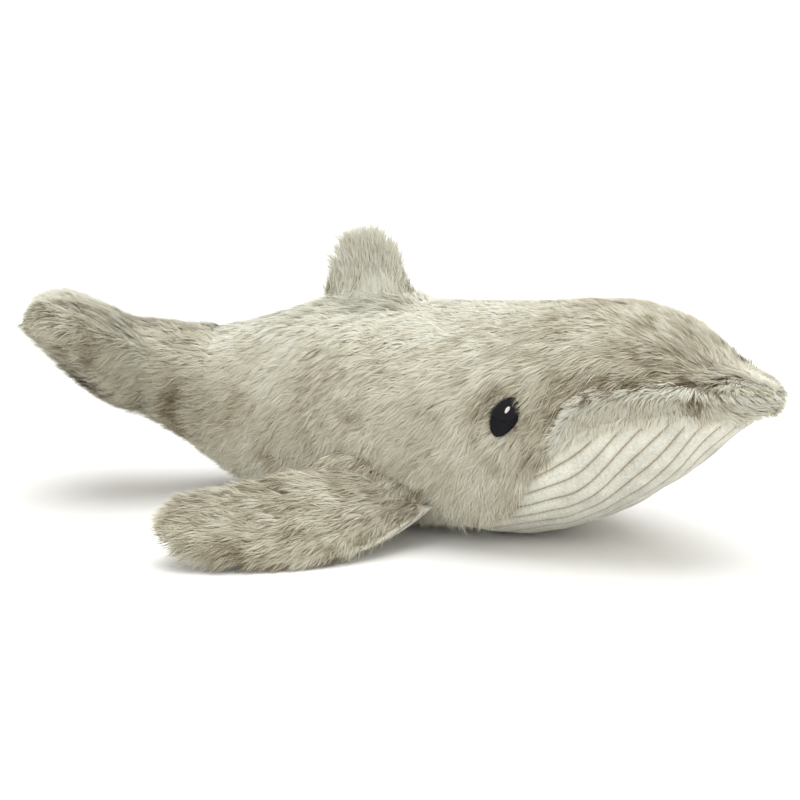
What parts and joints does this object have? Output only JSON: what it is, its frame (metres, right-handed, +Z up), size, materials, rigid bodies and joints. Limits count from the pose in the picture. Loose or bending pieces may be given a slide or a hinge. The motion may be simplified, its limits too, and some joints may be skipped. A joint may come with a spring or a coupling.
{
  "type": "plush whale",
  "caption": "Soft stuffed whale lying on its belly, with a ribbed throat, rolled lips, stitched eyes, and flippers, dorsal fin and tail flukes that bend at their seams.",
  "frame": {"origin": "on the flat of the belly where the whale rests, on its middle line", "axes": "+Z up, -Y towards the head, -X towards the whale's own right side"},
  "size_m": [0.242, 0.3288, 0.1094],
  "materials": {
    "fur_taupe": "short faux fur, soft and brushed",
    "ribbed_cream": "wide-wale ribbed velour",
    "stuffing": "loose polyester fibre",
    "eye_thread_black": "satin-stitched thread",
    "eye_thread_white": "satin-stitched thread"
  },
  "bodies": {
    "body": {"back_panel_right": "fur_taupe", "back_panel_left": "fur_taupe", "upper_lip_right": "fur_taupe", "upper_lip_left": "fur_taupe", "belly_panel": "ribbed_cream", "body_stuffing": "stuffing", "eye_right": "eye_thread_black", "eye_left": "eye_thread_black", "eye_highlight_right": "eye_thread_white", "eye_highlight_left": "eye_thread_white"},
    "flipper_right": {"flipper_right_top": "fur_taupe", "flipper_right_underside": "ribbed_cream", "flipper_right_stuffing": "stuffing"},
    "flipper_left": {"flipper_left_top": "fur_taupe", "flipper_left_underside": "ribbed_cream", "flipper_left_stuffing": "stuffing"},
    "dorsal_fin": {"dorsal_fin_right_panel": "fur_taupe", "dorsal_fin_left_panel": "fur_taupe", "dorsal_fin_stuffing": "stuffing"},
    "flukes": {"fluke_top": "fur_taupe", "fluke_underside": "fur_taupe", "fluke_stuffing": "stuffing"}
  },
  "joints": [
    {"name": "flipper_right_lift", "type": "hinge", "parent": "body", "child": "flipper_right", "pos_m": [-0.04801, -0.0065, 0.0215], "axis": [-0.2605, 0.8773, 0.4031], "range_deg": [-30, 50], "stiffness_Nm_per_rad": 0.02},
    {"name": "flipper_left_lift", "type": "hinge", "parent": "body", "child": "flipper_left", "pos_m": [0.04801, -0.0065, 0.0215], "axis": [-0.2605, -0.8773, -0.4031], "range_deg": [-30, 50], "stiffness_Nm_per_rad": 0.02},
    {"name": "dorsal_fin_tilt", "type": "hinge", "parent": "body", "child": "dorsal_fin", "pos_m": [-0.0004, 0.03798, 0.0859], "axis": [-0.0224, 0.9947, -0.1004], "range_deg": [-35, 35], "stiffness_Nm_per_rad": 0.02},
    {"name": "flukes_bend", "type": "hinge", "parent": "body", "child": "flukes", "pos_m": [-0.03113, 0.12025, 0.04954], "axis": [0.7252, 0.6854, -0.0655], "range_deg": [-30, 15], "stiffness_Nm_per_rad": 0.06}
  ]
}
